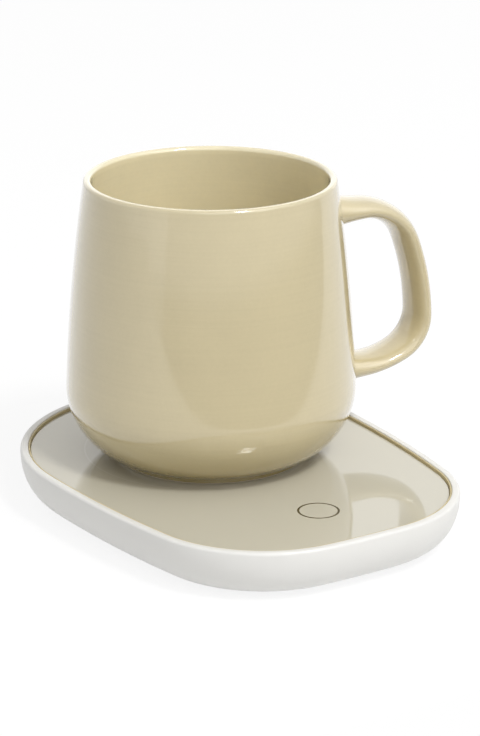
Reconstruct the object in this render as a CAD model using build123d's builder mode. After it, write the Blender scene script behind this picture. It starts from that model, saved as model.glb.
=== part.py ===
from build123d import *
import os
from math import asin, cos, degrees, radians, sin

os.makedirs("parts", exist_ok=True)

# An electric mug warmer with its mug. Millimetres, Z up. The origin is on the table under the
# middle of the warmer. -Y is the user's end, with the touch key; the mug stands at the +Y end.

# ---------------------------------------------------------------------------------------------
# Driving dimensions
# ---------------------------------------------------------------------------------------------

# Plan of the body: a half circle at the back, bowed sides and front, two large front corners
body_width = 116.4
body_length = 155.6
side_bow_radius = 370.0
front_bow_radius = 303.0
front_corner_radius = 41.4

# Section of the housing
rim_height = 17.35           # top of the rim above the table
floor_clearance = 1.6        # underside of the floor above the table
rim_band = 1.75              # upright band under the rim, where the wall is still straight
undercut = 10.0              # how far the wall curves in on its way down to the floor
rim_wall = 2.55
rim_outer_round = 0.9
rim_inner_round = 0.4
ledge_width = 1.8            # ledge inside the wall that carries the deck frame
floor_thickness = 2.0
cavity_round = 5.0           # moulded round between the floor and the wall, inside
rib_thickness = 1.4
rib_height = 1.4

# Deck: glass in a gasket on a moulded frame
deck_recess = 1.1            # glass surface below the rim
glass_thickness = 2.0
glass_edge_chamfer = 0.3
gasket_thickness = 0.4       # flange of the gasket, under the glass
gasket_lip = 0.55            # upright lip of the gasket, between the glass and the rim
gasket_lip_drop = 0.25       # top of the lip below the rim
gasket_flange = 5.0
frame_thickness = 1.8
frame_gap = 0.2              # frame to housing, all round
seat_gap = 0.05              # between curved faces that seat on each other

# Heater stack, hung under the glass
heater_from_back = 60.1      # centre of the heater, in from the back end of the body
plate_radius = 36.0
plate_thickness = 1.6
pad_thickness = 0.4
plate_opening_gap = 1.0
collar_wall = 1.4
collar_height = 1.6
sheet_inset = 2.0            # sheet and insulation inside the plate's edge
sheet_thickness = 0.5
track_thickness = 0.15
track_width = 1.8
track_turns = 6
track_inner_radius = 13.0
track_edge = 3.0             # outer ring of the track inside the sheet's edge
track_gap_angle = 26.0       # open sector where the track turns back
terminal_edge = 1.0          # ends of the track inside the sheet's edge
terminal_angle = -70.0
insulation_thickness = 2.4
shield_thickness = 0.6
shield_gap = 1.4             # shield's rim to the insulation, all round
shield_rim_height = 1.6
shield_lug_radius = 3.6
shield_screw_angles = (0, 110, 240)
window_radius = 9.0          # hole through sheet and insulation for the sensors

# Sensors on the underside of the heating plate
sensor_block_size = 7.0
sensor_block_drop = 1.6      # block below the shield
sensor_spacing = 4.2
thermistor_radius = 1.2
thermistor_length = 6.0
fuse_radius = 1.5
fuse_length = 8.0
groove_depth = 0.5           # grooves in the plate that the sensors lie in

# Control board, under the touch key
key_from_front = 28.7        # centre of the key, in from the front end of the body
key_tube_radius = 6.0
key_tube_wall = 1.0
key_opening_gap = 0.3
board_width = 48.0
board_front_gap = 11.8       # board, in from the front end of the body
board_thickness = 1.2
board_standoff = 1.4
board_corner_radius = 3.0
board_screw_inset = 3.5
board_tower_gap = 1.0        # where the board comes near a screw tower, it is cut back by this
spring_radius = 3.4
spring_wire = 0.5
spring_turns = 5
led_width = 3.2
led_height = 1.4
chip_length = 8.6
chip_width = 4.0
chip_height = 1.5
chip_pins = 8
chip_pin_pitch = 1.0
chip_place = (13.5, -7.9)    # the parts stand on the board at these places from the key
transistor_place = (-13.5, -7.9)
transistor_width = 6.6
transistor_length = 6.1
transistor_height = 2.3
capacitor_place = (14.0, 2.6)
capacitor_radius = 3.15
capacitor_gap = 0.65         # top of the capacitor below the deck frame
connector_depth = 6.0
connector_key_gap = 2.1      # connectors stand this far behind the light tube
connector_gap = 0.25         # top of a connector below the frame's collar
connector_wall = 0.8
power_connector_x = -12.0
lead_gap = 0.3               # leads run under the shield with this gap

# Power socket, in the back wall
socket_width = 8.94
socket_height = 3.2
socket_length = 7.4
socket_shell = 0.3
socket_tongue_width = 6.7
socket_tongue_thickness = 0.7
socket_opening_gap = 0.25
socket_setback = 2.6         # mouth of the socket inside the back end of the body
plug_recess_width = 13.0
plug_recess_height = 7.4
plug_recess_depth = 3.0
socket_board_width = 18.0
socket_board_length = 14.0
socket_overhang = 4.2        # mouth of the socket beyond its board
socket_connector_length = 4.0
socket_screw_x = 7.2

# Leads
lead_radius = 0.7
sensor_lead_radius = 0.45
heater_lead_pitch = 2.4
sensor_lead_pitch = 1.6
sensor_lead_count = 4
power_lead_pitch = 2.0
power_lead_start = 11.0      # the power leads run straight forward from their socket this far,
power_lead_end = 12.0        # and straight in to the control board over this length
power_lead_turn_back = 8.0   # they bend behind the heater's centre by this much,
power_lead_bow = 1.0         # how far they bow out halfway
power_lead_bend = 12.0
heater_lead_bend = 0.45      # bend of the heater leads, as a share of their drop
lead_notch_width = 7.0
lead_notch_length = 6.0

# Fasteners
case_screw_radius = 1.3
case_screw_head_radius = 2.3
case_screw_head_height = 1.5
case_screw_length = 7.0
small_screw_radius = 1.0
small_screw_head_radius = 1.9
small_screw_head_height = 1.2
board_screw_length = 3.4
shield_screw_length = 4.0
screw_hole_gap = 0.05
drive_width = 0.5
drive_span = 1.3             # cross recess, as a share of the head's radius
drive_depth = 0.6
screw_tower_radius = 4.4
screw_tower_height = 2.0
screw_seat_thickness = 1.2
case_boss_radius = 3.4
small_boss_radius = 2.8

# Feet
foot_radius = 5.5
foot_recess = 0.8
foot_gap = 0.2
foot_chamfer = 0.4
foot_margin = 1.0            # foot to the edge of the flat floor
back_foot_angle = 44.0       # back feet round the back arc, from the X axis
front_foot_side = 28.2       # front feet, in from the widest side
front_foot_end = 25.8        # front feet, in from the front end

# Mug
mug_offset_x = 0.8           # mug's axis, from the heater's centre
mug_offset_y = -3.8
mug_turn = -7.0              # the handle's direction from +X
mug_height = 91.2
mug_rim_radius = 40.0
mug_belly_radius = 46.5
mug_bowl_radius = 23.0
mug_wall = 3.6
mug_lip = 2.6
mug_foot_radius = 31.2
mug_foot_width = 4.0
mug_foot_height = 1.6
mug_foot_recess = 0.8
mug_shoulder_angle = 2.5     # where the bowl passes into the long wall, past its widest place
handle_width = 15.9
handle_thickness = 6.7
handle_top_thickness = 15.0  # at the two ends of the strap's path, inside the mug's wall
handle_low_thickness = 12.3
handle_slim_start = 0.16     # where the flares have run out, as a share of the path
handle_slim_end = 0.76
handle_root_reach = 32.0     # both ends of the path, from the mug's axis
handle_top = 75.0
handle_shoulder_reach = 52.4
handle_top_bend = 18.65      # radii of the strap's four arcs, from the top down
handle_grip_bend = 79.6
handle_low_bend = 13.4
handle_root_bend = 33.1
handle_angles = (68.9, 18.8, 66.7, 25.6)     # how far each of them turns

# ---------------------------------------------------------------------------------------------
# Levels and places that follow from them
# ---------------------------------------------------------------------------------------------

back_center_y = (body_length - body_width) / 2
glass_top = rim_height - deck_recess
glass_bottom = glass_top - glass_thickness
frame_top = glass_bottom - gasket_thickness
ledge_top = frame_top - frame_thickness
plate_top = glass_bottom - pad_thickness
plate_bottom = plate_top - plate_thickness
sheet_bottom = plate_bottom - sheet_thickness
track_bottom = sheet_bottom - track_thickness
insulation_bottom = track_bottom - insulation_thickness
shield_bottom = insulation_bottom - shield_thickness
floor_top = floor_clearance + floor_thickness
board_bottom = floor_top + board_standoff
board_top = board_bottom + board_thickness
tower_top = floor_top + screw_tower_height
screw_seat = tower_top - screw_seat_thickness

lead_height = shield_bottom - lead_gap - lead_radius
connector_height = ledge_top - collar_height - connector_gap - board_top
capacitor_height = ledge_top - capacitor_gap - board_top

opening_radius = plate_radius + plate_opening_gap
sheet_radius = plate_radius - sheet_inset
terminal_radius = sheet_radius - terminal_edge
track_outer_radius = sheet_radius - track_edge
track_pitch = (track_outer_radius - track_inner_radius) / (track_turns - 1)
shield_radius = sheet_radius + shield_gap + shield_thickness
shield_screw_reach = opening_radius + collar_wall + small_boss_radius
glass_inset = rim_wall + gasket_lip + 2 * seat_gap
heater_y = body_length / 2 - heater_from_back
key_y = key_from_front - body_length / 2
board_front_y = board_front_gap - body_length / 2
board_back_y = key_y + key_tube_radius + connector_key_gap + connector_depth
board_length = board_back_y - board_front_y
board_center_y = (board_back_y + board_front_y) / 2
connector_y = board_back_y - connector_depth / 2
socket_mouth_y = body_length / 2 - socket_setback
socket_z = board_top + socket_height / 2
socket_board_y = socket_mouth_y - socket_overhang - socket_board_length / 2

back_foot_reach = body_width / 2 - undercut - foot_margin - foot_radius
back_foot_x = back_foot_reach * cos(radians(back_foot_angle))
back_foot_y = back_center_y + back_foot_reach * sin(radians(back_foot_angle))
front_foot_x = body_width / 2 - front_foot_side
front_foot_y = front_foot_end - body_length / 2
foot_places = [
    (-back_foot_x, back_foot_y),
    (back_foot_x, back_foot_y),
    (-front_foot_x, front_foot_y),
    (front_foot_x, front_foot_y),
]
board_screw_x = board_width / 2 - board_screw_inset
board_screw_y = board_length / 2 - board_screw_inset
board_screw_places = [
    (side * board_screw_x, board_center_y + end * board_screw_y)
    for side in (-1, 1)
    for end in (-1, 1)
]
socket_screw_y = socket_board_y - socket_board_length / 2 + board_screw_inset
socket_screw_places = [(side * socket_screw_x, socket_screw_y) for side in (-1, 1)]
chip_center = (chip_place[0], key_y + chip_place[1])
transistor_center = (transistor_place[0], key_y + transistor_place[1])
capacitor_center = (capacitor_place[0], key_y + capacitor_place[1])
shield_screw_places = [
    (shield_screw_reach * cos(radians(a)), heater_y + shield_screw_reach * sin(radians(a)))
    for a in shield_screw_angles
]

mug_x = mug_offset_x
mug_y = heater_y + mug_offset_y

bottom_up = (Align.CENTER, Align.CENTER, Align.MIN)
top_down = (Align.CENTER, Align.CENTER, Align.MAX)


def body_plan(inset):
    """The warmer's plan, drawn in from its outer edge by inset."""
    with BuildSketch() as plan:
        with Locations((body_width / 2 - side_bow_radius, back_center_y)):
            Circle(side_bow_radius - inset)
        with Locations((side_bow_radius - body_width / 2, back_center_y)):
            Circle(side_bow_radius - inset, mode=Mode.INTERSECT)
        with Locations((0, front_bow_radius - body_length / 2)):
            Circle(front_bow_radius - inset, mode=Mode.INTERSECT)
        with Locations((0, back_center_y)):
            Rectangle(2 * body_width, 2 * body_length,
                      align=(Align.CENTER, Align.MAX), mode=Mode.INTERSECT)
        fillet(plan.vertices().group_by(Axis.Y)[0], front_corner_radius - inset)
        with Locations((0, back_center_y)):
            Circle(body_width / 2 - inset)
    return plan.sketch


def screw_set(places, seat_z, shank_radius, length, head_radius, head_height, head_down=False):
    """Screws with a cross recess, their heads seated at seat_z."""
    turn = (180, 0, 0) if head_down else (0, 0, 0)
    with BuildPart() as screws:
        with Locations(*[Location((x, y, seat_z), turn) for x, y in places]):
            Cylinder(radius=shank_radius, height=length, align=top_down)
            Cylinder(radius=head_radius, height=head_height, align=bottom_up)
        with Locations(*[Location((x, y, seat_z), turn) * Location((0, 0, head_height))
                         for x, y in places]):
            Box(drive_span * head_radius, drive_width, drive_depth, align=top_down, mode=Mode.SUBTRACT)
            Box(drive_width, drive_span * head_radius, drive_depth, align=top_down, mode=Mode.SUBTRACT)
    return screws.part


def screw_holes(places, from_z, depth, radius):
    """Round holes going up from from_z, cut in the part being built."""
    with Locations(*[(x, y, from_z) for x, y in places]):
        Cylinder(radius=radius, height=depth, align=bottom_up, mode=Mode.SUBTRACT)


# ---------------------------------------------------------------------------------------------
# Housing: one white moulding, a shallow bowl with the rim on top and the floor below
# ---------------------------------------------------------------------------------------------

wall_path = body_plan(0).face().outer_wire().moved(Location((0, 0, floor_clearance)))
wall_curve_height = rim_height - rim_band - floor_clearance
path_start = wall_path @ 0
path_plane = Plane(origin=path_start, x_dir=(0, 0, 1), z_dir=wall_path % 0)
outward = 1 if path_plane.y_dir.dot(Vector(path_start.X, 0, 0)) > 0 else -1

with BuildPart() as cavity:
    with BuildSketch(Plane.XY.offset(floor_top)):
        add(body_plan(rim_wall + ledge_width))
    extrude(amount=ledge_top - floor_top)
    fillet(cavity.edges().group_by(Axis.Z)[0], cavity_round)

with BuildPart() as housing:
    with BuildSketch(Plane.XY.offset(floor_clearance)):
        add(body_plan(0))
    extrude(amount=rim_height - floor_clearance)
    # The wall curves in under the body as a quarter ellipse, all the way round
    with BuildSketch(path_plane) as wall_curve:
        Rectangle(2 * wall_curve_height, 2 * undercut)
        with Locations((wall_curve_height, -outward * undercut)):
            Ellipse(wall_curve_height, undercut, mode=Mode.SUBTRACT)
    sweep(sections=wall_curve.sketch, path=wall_path, mode=Mode.SUBTRACT)
    fillet(housing.edges().group_by(Axis.Z)[-1], rim_outer_round)

    # Pocket for the deck, and the cavity below its ledge
    with BuildSketch(Plane.XY.offset(ledge_top)):
        add(body_plan(rim_wall))
    extrude(amount=rim_height - ledge_top, mode=Mode.SUBTRACT)
    pocket_edges = housing.faces().sort_by(Axis.Z)[-1].inner_wires()[0].edges()
    fillet(pocket_edges, rim_inner_round)
    add(cavity.part, mode=Mode.SUBTRACT)

    # Ribs across the floor, screw towers, and posts for the two boards
    with Locations((0, heater_y, floor_top)):
        Box(2 * shield_radius, rib_thickness, rib_height, align=bottom_up)
        Box(rib_thickness, 2 * shield_radius, rib_height, align=bottom_up)
    with Locations(*[(x, y, floor_top) for x, y in foot_places]):
        Cylinder(radius=screw_tower_radius, height=screw_tower_height, align=bottom_up)
    with Locations(*[(x, y, floor_top) for x, y in board_screw_places + socket_screw_places]):
        Cylinder(radius=small_boss_radius, height=board_standoff, align=bottom_up)

    # Underside: a round recess for each foot, with the case screw's head above it
    screw_holes(foot_places, floor_clearance, foot_recess, foot_radius + foot_gap)
    screw_holes(foot_places, floor_clearance, screw_seat - floor_clearance,
                case_screw_head_radius + foot_gap)
    screw_holes(foot_places, floor_clearance, tower_top - floor_clearance,
                case_screw_radius + foot_gap)
    board_screw_tip = board_top - board_screw_length
    screw_holes(board_screw_places + socket_screw_places, board_screw_tip - foot_gap,
                board_bottom - board_screw_tip + foot_gap, small_screw_radius + screw_hole_gap)

    # Power socket: a recess for the plug's grip, and the opening behind it
    with BuildSketch(Plane.XZ.offset(-body_length / 2)):
        with Locations((0, socket_z)):
            SlotOverall(plug_recess_width, plug_recess_height)
    extrude(amount=plug_recess_depth, mode=Mode.SUBTRACT)
    with BuildSketch(Plane.XZ.offset(-body_length / 2)):
        with Locations((0, socket_z)):
            SlotOverall(socket_width + 2 * socket_opening_gap, socket_height + 2 * socket_opening_gap)
    extrude(amount=socket_setback + socket_length, mode=Mode.SUBTRACT)
housing.part.label = "housing"
export_step(housing.part, "parts/housing.step")

# ---------------------------------------------------------------------------------------------
# Deck frame: moulded plate on the housing's ledge, with the bosses that hold what hangs under it
# ---------------------------------------------------------------------------------------------

with BuildPart() as deck_frame:
    with BuildSketch(Plane.XY.offset(ledge_top)):
        add(body_plan(rim_wall + frame_gap))
        with Locations((0, heater_y)):
            Circle(opening_radius, mode=Mode.SUBTRACT)
        with Locations((0, key_y)):
            Circle(key_tube_radius + key_opening_gap, mode=Mode.SUBTRACT)
    extrude(amount=frame_thickness)
    # Collar round the heater opening
    with BuildSketch(Plane.XY.offset(ledge_top - collar_height)):
        with Locations((0, heater_y)):
            Circle(opening_radius + collar_wall)
            Circle(opening_radius, mode=Mode.SUBTRACT)
    extrude(amount=collar_height)
    with Locations(*[(x, y, ledge_top) for x, y in foot_places]):
        Cylinder(radius=case_boss_radius, height=ledge_top - tower_top, align=top_down)
    with Locations(*[(x, y, ledge_top) for x, y in shield_screw_places]):
        Cylinder(radius=small_boss_radius, height=ledge_top - insulation_bottom, align=top_down)
    with BuildSketch(Plane.XY.offset(insulation_bottom)):
        with Locations((0, heater_y)):
            Circle(opening_radius)
    extrude(amount=ledge_top - insulation_bottom, mode=Mode.SUBTRACT)
    case_screw_tip = screw_seat + case_screw_length
    screw_holes(foot_places, tower_top, case_screw_tip - tower_top + foot_gap,
                case_screw_radius + screw_hole_gap)
    shield_screw_tip = shield_bottom + shield_screw_length
    screw_holes(shield_screw_places, insulation_bottom,
                shield_screw_tip - insulation_bottom + foot_gap,
                small_screw_radius + screw_hole_gap)
deck_frame.part.label = "deck_frame"
export_step(deck_frame.part, "parts/deck_frame.step")

# Gasket: an L in section, its flange under the glass and its lip up the side of the glass
with BuildPart() as deck_gasket:
    with BuildSketch(Plane.XY.offset(frame_top)):
        add(body_plan(rim_wall + seat_gap))
        add(body_plan(rim_wall + gasket_lip + gasket_flange), mode=Mode.SUBTRACT)
    extrude(amount=gasket_thickness)
    with BuildSketch(Plane.XY.offset(frame_top)):
        add(body_plan(rim_wall + seat_gap))
        add(body_plan(rim_wall + seat_gap + gasket_lip), mode=Mode.SUBTRACT)
    extrude(amount=rim_height - gasket_lip_drop - frame_top)
deck_gasket.part.label = "deck_gasket"
export_step(deck_gasket.part, "parts/deck_gasket.step")

# Glass deck, its top edge ground to a small chamfer
with BuildPart() as glass_deck:
    with BuildSketch(Plane.XY.offset(glass_bottom)):
        add(body_plan(glass_inset))
    extrude(amount=glass_thickness)
    chamfer(glass_deck.edges().group_by(Axis.Z)[-1], glass_edge_chamfer)
glass_deck.part.label = "glass_deck"
export_step(glass_deck.part, "parts/glass_deck.step")

# ---------------------------------------------------------------------------------------------
# Heater stack: pad, aluminium plate, mica sheet with its foil track, insulation, steel shield
# ---------------------------------------------------------------------------------------------

with BuildPart() as thermal_pad:
    with Locations((0, heater_y, plate_top)):
        Cylinder(radius=plate_radius, height=pad_thickness, align=bottom_up)
thermal_pad.part.label = "thermal_pad"
export_step(thermal_pad.part, "parts/thermal_pad.step")

thermistor_y = heater_y + sensor_spacing / 2
fuse_y = heater_y - sensor_spacing / 2
thermistor_z = plate_bottom + groove_depth - thermistor_radius
fuse_z = plate_bottom + groove_depth - fuse_radius

with BuildPart() as heating_plate:
    with Locations((0, heater_y, plate_bottom)):
        Cylinder(radius=plate_radius, height=plate_thickness, align=bottom_up)
    chamfer(heating_plate.edges().group_by(Axis.Z)[0], groove_depth)
    with Locations(Location((0, thermistor_y, thermistor_z), (0, 90, 0))):
        Cylinder(radius=thermistor_radius + seat_gap, height=thermistor_length + 2 * seat_gap,
                 mode=Mode.SUBTRACT)
    with Locations(Location((0, fuse_y, fuse_z), (0, 90, 0))):
        Cylinder(radius=fuse_radius + seat_gap, height=fuse_length + 2 * seat_gap,
                 mode=Mode.SUBTRACT)
heating_plate.part.label = "heating_plate"
export_step(heating_plate.part, "parts/heating_plate.step")

with BuildPart() as heater_sheet:
    with BuildSketch(Plane.XY.offset(sheet_bottom)):
        with Locations((0, heater_y)):
            Circle(sheet_radius)
            Circle(window_radius, mode=Mode.SUBTRACT)
    extrude(amount=sheet_thickness)
heater_sheet.part.label = "heater_sheet"
export_step(heater_sheet.part, "parts/heater_sheet.step")


def heater_polar(radius, angle):
    """A point of the heater, by its distance from the centre and its direction."""
    return (radius * cos(radians(angle)), heater_y + radius * sin(radians(angle)))


# The track goes round in rings that turn back at the gap. Its inner end comes out again down
# the middle of the gap, so both ends lie side by side at the outside.
terminal_spread = degrees(asin(heater_lead_pitch / terminal_radius))
with BuildPart() as heater_track:
    with BuildSketch(Plane.XY.offset(track_bottom)):
        with BuildLine():
            side = 1
            start = terminal_angle + terminal_spread
            ring_radius = track_outer_radius
            Line(heater_polar(terminal_radius, start), heater_polar(ring_radius, start))
            for ring in range(track_turns):
                end = terminal_angle - side * track_gap_angle / 2
                CenterArc((0, heater_y), ring_radius, start, end - start + side * 360)
                start = end
                side = -side
                if ring < track_turns - 1:
                    Line(heater_polar(ring_radius, start),
                         heater_polar(ring_radius - track_pitch, start))
                    ring_radius -= track_pitch
            Polyline(heater_polar(ring_radius, start),
                     heater_polar(ring_radius, terminal_angle),
                     heater_polar(terminal_radius, terminal_angle))
        trace(line_width=track_width)
    extrude(amount=track_thickness)
heater_track.part.label = "heater_track"
export_step(heater_track.part, "parts/heater_track.step")

notch_x, notch_y = heater_polar(terminal_radius, terminal_angle + terminal_spread / 2)
notch_place = Location((notch_x, notch_y, 0), (0, 0, terminal_angle + terminal_spread / 2))

with BuildPart() as insulation_pad:
    with BuildSketch(Plane.XY.offset(insulation_bottom)):
        with Locations((0, heater_y)):
            Circle(sheet_radius)
            Circle(window_radius, mode=Mode.SUBTRACT)
        with Locations(notch_place):
            Rectangle(lead_notch_length, lead_notch_width, mode=Mode.SUBTRACT)
    extrude(amount=insulation_thickness)
insulation_pad.part.label = "insulation_pad"
export_step(insulation_pad.part, "parts/insulation_pad.step")

# Shield: a shallow steel pan that presses the stack up against the glass, with three lugs
with BuildPart() as heat_shield:
    with BuildSketch(Plane.XY.offset(shield_bottom)):
        with Locations((0, heater_y)):
            Circle(shield_radius)
        for angle in shield_screw_angles:
            with Locations(Location((0, heater_y, 0), (0, 0, angle))):
                Rectangle(shield_screw_reach, 2 * shield_lug_radius,
                          align=(Align.MIN, Align.CENTER))
        with Locations(*shield_screw_places):
            Circle(shield_lug_radius)
            Circle(small_screw_radius + foot_gap, mode=Mode.SUBTRACT)
        with Locations((0, heater_y)):
            Rectangle(sensor_block_size + 2 * foot_gap, sensor_block_size + 2 * foot_gap,
                      mode=Mode.SUBTRACT)
    extrude(amount=shield_thickness)
    with BuildSketch(Plane.XY.offset(insulation_bottom)):
        with Locations((0, heater_y)):
            Circle(shield_radius)
            Circle(shield_radius - shield_thickness, mode=Mode.SUBTRACT)
    extrude(amount=shield_rim_height)
    with BuildSketch(Plane.XY.offset(shield_bottom)):
        with Locations(notch_place):
            Rectangle(2 * lead_notch_length, lead_notch_width)
    extrude(amount=shield_thickness + shield_rim_height, mode=Mode.SUBTRACT)
heat_shield.part.label = "heat_shield"
export_step(heat_shield.part, "parts/heat_shield.step")

shield_screws = screw_set(shield_screw_places, shield_bottom, small_screw_radius,
                          shield_screw_length, small_screw_head_radius,
                          small_screw_head_height, head_down=True)
shield_screws.label = "shield_screws"
export_step(shield_screws, "parts/shield_screws.step")

# Sensor block: fills the window, holds both sensors to the plate, and stands on the shield
sensor_block_bottom = shield_bottom - sensor_block_drop
with BuildPart() as sensor_block:
    with Locations((0, heater_y, insulation_bottom)):
        Cylinder(radius=window_radius - foot_gap, height=plate_bottom - insulation_bottom,
                 align=bottom_up)
    with Locations((0, heater_y, sensor_block_bottom)):
        Box(sensor_block_size, sensor_block_size, insulation_bottom - sensor_block_bottom,
            align=bottom_up)
    with Locations(Location((0, thermistor_y, thermistor_z), (0, 90, 0))):
        Cylinder(radius=thermistor_radius + seat_gap, height=thermistor_length + 2 * seat_gap,
                 mode=Mode.SUBTRACT)
    with Locations(Location((0, fuse_y, fuse_z), (0, 90, 0))):
        Cylinder(radius=fuse_radius + seat_gap, height=fuse_length + 2 * seat_gap,
                 mode=Mode.SUBTRACT)
    # Mouths of the grooves, so that the sensors drop in from above
    with Locations((0, thermistor_y, thermistor_z)):
        Box(thermistor_length + 2 * seat_gap, 2 * (thermistor_radius + seat_gap),
            plate_bottom - thermistor_z, align=bottom_up, mode=Mode.SUBTRACT)
    with Locations((0, fuse_y, fuse_z)):
        Box(fuse_length + 2 * seat_gap, 2 * (fuse_radius + seat_gap),
            plate_bottom - fuse_z, align=bottom_up, mode=Mode.SUBTRACT)
sensor_block.part.label = "sensor_block"
export_step(sensor_block.part, "parts/sensor_block.step")

with BuildPart() as thermistor:
    with Locations(Location((0, thermistor_y, thermistor_z), (0, 90, 0))):
        Cylinder(radius=thermistor_radius, height=thermistor_length)
    fillet(thermistor.edges().filter_by(GeomType.CIRCLE), thermistor_radius / 2)
thermistor.part.label = "thermistor"
export_step(thermistor.part, "parts/thermistor.step")

with BuildPart() as thermal_fuse:
    with Locations(Location((0, fuse_y, fuse_z), (0, 90, 0))):
        Cylinder(radius=fuse_radius, height=fuse_length)
    chamfer(thermal_fuse.edges().filter_by(GeomType.CIRCLE), fuse_radius / 3)
thermal_fuse.part.label = "thermal_fuse"
export_step(thermal_fuse.part, "parts/thermal_fuse.step")

# ---------------------------------------------------------------------------------------------
# Control board and what stands on it
# ---------------------------------------------------------------------------------------------

with BuildPart() as control_board:
    with BuildSketch(Plane.XY.offset(board_bottom)):
        with Locations((0, board_center_y)):
            RectangleRounded(board_width, board_length, board_corner_radius)
        with Locations(*board_screw_places):
            Circle(small_screw_radius + foot_gap, mode=Mode.SUBTRACT)
        with Locations(*foot_places):
            Circle(screw_tower_radius + board_tower_gap, mode=Mode.SUBTRACT)
    extrude(amount=board_thickness)
control_board.part.label = "control_board"
export_step(control_board.part, "parts/control_board.step")

board_screws = screw_set(board_screw_places, board_top, small_screw_radius, board_screw_length,
                         small_screw_head_radius, small_screw_head_height)
board_screws.label = "board_screws"
export_step(board_screws, "parts/board_screws.step")

# Touch key: a spring from the board to the glass, an indicator inside it, and a clear tube round it
with BuildPart() as touch_spring:
    spring_height = glass_bottom - board_top - spring_wire
    with BuildLine() as spring_coil:
        Helix(pitch=spring_height / spring_turns, height=spring_height, radius=spring_radius,
              center=(0, key_y, board_top + spring_wire / 2))
    with BuildSketch(Plane(origin=spring_coil.line @ 0, z_dir=spring_coil.line % 0)):
        Circle(spring_wire / 2)
    sweep(path=spring_coil.line)
touch_spring.part.label = "touch_spring"
export_step(touch_spring.part, "parts/touch_spring.step")

with BuildPart() as key_light_tube:
    with Locations((0, key_y, board_top)):
        Cylinder(radius=key_tube_radius, height=glass_bottom - board_top, align=bottom_up)
        Cylinder(radius=key_tube_radius - key_tube_wall, height=glass_bottom - board_top,
                 align=bottom_up, mode=Mode.SUBTRACT)
key_light_tube.part.label = "key_light_tube"
export_step(key_light_tube.part, "parts/key_light_tube.step")

with BuildPart() as key_indicator:
    with Locations((0, key_y, board_top)):
        Box(led_width, led_width, led_height / 2, align=bottom_up)
        Cylinder(radius=0.4 * led_width, height=led_height, align=bottom_up)
    fillet(key_indicator.edges().group_by(Axis.Z)[-1], 0.2 * led_height)
key_indicator.part.label = "key_indicator"
export_step(key_indicator.part, "parts/key_indicator.step")

with BuildPart() as controller_chip:
    with Locations((*chip_center, board_top)):
        Box(chip_length, chip_width, chip_height, align=bottom_up)
    chamfer(controller_chip.edges().group_by(Axis.Z)[-1], 0.2 * chip_height)
    with Locations((*chip_center, board_top)):
        with GridLocations(chip_pin_pitch, chip_width + chip_pin_pitch, chip_pins, 2):
            Box(0.4 * chip_pin_pitch, chip_pin_pitch, 0.4 * chip_height, align=bottom_up)
controller_chip.part.label = "controller_chip"
export_step(controller_chip.part, "parts/controller_chip.step")

with BuildPart() as power_transistor:
    with Locations((*transistor_center, board_top)):
        Box(transistor_width, transistor_length, transistor_height, align=bottom_up)
    chamfer(power_transistor.edges().group_by(Axis.Z)[-1], 0.2 * transistor_height)
    with Locations((transistor_center[0], transistor_center[1] + transistor_length / 2, board_top)):
        Box(0.8 * transistor_width, 0.5 * transistor_length, 0.3 * transistor_height,
            align=bottom_up)
    with Locations((transistor_center[0], transistor_center[1] - transistor_length / 2, board_top)):
        with GridLocations(0.35 * transistor_width, 1, 3, 1):
            Box(0.12 * transistor_width, 0.6 * transistor_length, 0.2 * transistor_height,
                align=bottom_up)
power_transistor.part.label = "power_transistor"
export_step(power_transistor.part, "parts/power_transistor.step")

with BuildPart() as filter_capacitor:
    with Locations((*capacitor_center, board_top)):
        Box(2.1 * capacitor_radius, 2.1 * capacitor_radius, 0.2 * capacitor_height,
            align=bottom_up)
    chamfer(filter_capacitor.edges().filter_by(Axis.Z), 0.4 * capacitor_radius)
    with Locations((*capacitor_center, board_top)):
        Cylinder(radius=capacitor_radius, height=capacitor_height, align=bottom_up)
    fillet(filter_capacitor.edges().group_by(Axis.Z)[-1], 0.15 * capacitor_radius)
filter_capacitor.part.label = "filter_capacitor"
export_step(filter_capacitor.part, "parts/filter_capacitor.step")

# ---------------------------------------------------------------------------------------------
# Power socket at the back, on a small board of its own
# ---------------------------------------------------------------------------------------------

with BuildPart() as socket_board:
    with BuildSketch(Plane.XY.offset(board_bottom)):
        with Locations((0, socket_board_y)):
            RectangleRounded(socket_board_width, socket_board_length, board_corner_radius)
        with Locations(*socket_screw_places):
            Circle(small_screw_radius + foot_gap, mode=Mode.SUBTRACT)
    extrude(amount=board_thickness)
socket_board.part.label = "socket_board"
export_step(socket_board.part, "parts/socket_board.step")

socket_screws = screw_set(socket_screw_places, board_top, small_screw_radius,
                          board_screw_length, small_screw_head_radius,
                          small_screw_head_height)
socket_screws.label = "socket_screws"
export_step(socket_screws, "parts/socket_screws.step")

# Socket: a drawn metal shell with a flat tongue in it
with BuildPart() as power_socket:
    with BuildSketch(Plane.XZ.offset(-socket_mouth_y)):
        with Locations((0, socket_z)):
            SlotOverall(socket_width, socket_height)
    extrude(amount=socket_length)
    with BuildSketch(Plane.XZ.offset(-socket_mouth_y)):
        with Locations((0, socket_z)):
            SlotOverall(socket_width - 2 * socket_shell, socket_height - 2 * socket_shell)
            Rectangle(socket_tongue_width, socket_tongue_thickness, mode=Mode.SUBTRACT)
    extrude(amount=socket_length - 3 * socket_shell, mode=Mode.SUBTRACT)
power_socket.part.label = "power_socket"
export_step(power_socket.part, "parts/power_socket.step")

# ---------------------------------------------------------------------------------------------
# Leads and their connectors
# ---------------------------------------------------------------------------------------------

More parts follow.
